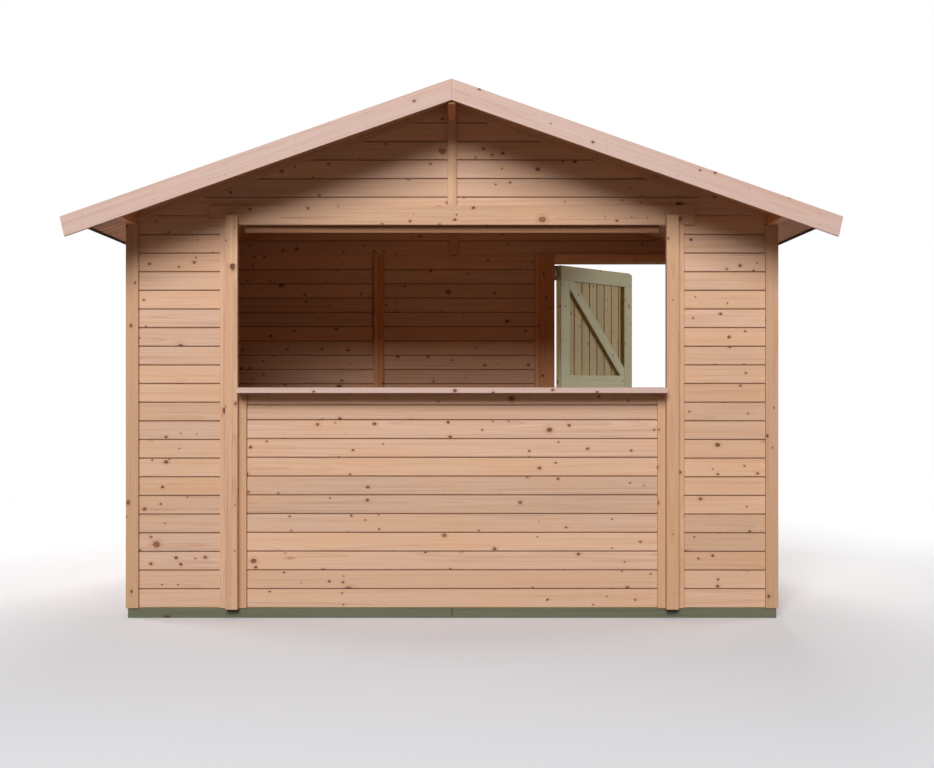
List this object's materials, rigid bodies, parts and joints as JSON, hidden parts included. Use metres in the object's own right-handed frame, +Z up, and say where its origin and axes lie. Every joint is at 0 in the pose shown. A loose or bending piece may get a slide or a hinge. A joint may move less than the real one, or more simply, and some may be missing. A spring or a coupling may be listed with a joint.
{
  "type": "wooden market stall",
  "caption": "Boarded wooden market stall with a gabled felt roof, a wide sales opening over a counter, and a hinged door in the back.",
  "frame": {"origin": "middle of the hut's footprint, on the ground face of the base", "axes": "+Z up, front with the sales opening towards -Y, +X to the right as a customer sees it"},
  "size_m": [3.366, 3.0834, 2.3882],
  "materials": {
    "wall_boards": "planed, untreated",
    "trim_wood": "planed, untreated",
    "barge_wood": "planed, untreated",
    "frame_wood": "planed, untreated",
    "roof_boards": "planed, untreated",
    "counter_wood": "planed, untreated",
    "door_wood": "planed, untreated",
    "floor_wood": "planed, untreated",
    "bearer_wood": "rough sawn, pressure treated",
    "roofing_felt": "matt bitumen felt",
    "steel": "zinc plated, dull"
  },
  "bodies": {
    "stall": {"base_bearers_long": "bearer_wood", "base_bearers_side": "bearer_wood", "floor_left": "floor_wood", "floor_right": "floor_wood", "front_wall_left": "wall_boards", "front_wall_right": "wall_boards", "front_parapet": "wall_boards", "front_gable": "wall_boards", "left_wall": "wall_boards", "right_wall": "wall_boards", "back_wall_left": "wall_boards", "back_wall_middle": "wall_boards", "back_wall_beside_door": "wall_boards", "back_wall_over_door": "wall_boards", "back_gable": "wall_boards", "lintel_board": "trim_wood", "front_posts": "trim_wood", "post_backings": "trim_wood", "parapet_battens": "trim_wood", "header_batten": "trim_wood", "header_rail": "frame_wood", "counter_rail": "frame_wood", "counter": "counter_wood", "front_wall_studs": "frame_wood", "back_wall_studs": "frame_wood", "back_gable_stud": "frame_wood", "end_wall_plates": "frame_wood", "side_wall_studs": "frame_wood", "side_wall_plates": "frame_wood", "front_corner_trims": "trim_wood", "back_corner_trims": "trim_wood", "roof_left": "roof_boards", "roof_right": "roof_boards", "felt_left": "roofing_felt", "felt_right": "roofing_felt", "ridge_purlin": "frame_wood", "eave_purlins": "frame_wood", "front_barge_left": "barge_wood", "front_barge_right": "barge_wood", "back_barge_left": "barge_wood", "back_barge_right": "barge_wood", "gable_trims": "trim_wood", "gable_battens": "trim_wood", "door_jambs": "frame_wood", "door_head": "frame_wood", "door_sill": "frame_wood", "door_casing": "trim_wood", "hinge_plates": "steel", "bolt_keeper": "steel"},
    "door": {"door_boards": "door_wood", "door_ledges": "door_wood", "door_stiles": "door_wood", "door_braces": "door_wood", "door_strap_hinges": "steel", "door_bolt": "steel", "door_handle": "steel"}
  },
  "joints": [
    {"name": "door_hinge", "type": "hinge", "parent": "stall", "child": "door", "pos_m": [0.6075, 1.0135, 0], "axis": [0, 0, 1], "range_deg": [-52, 58]}
  ]
}
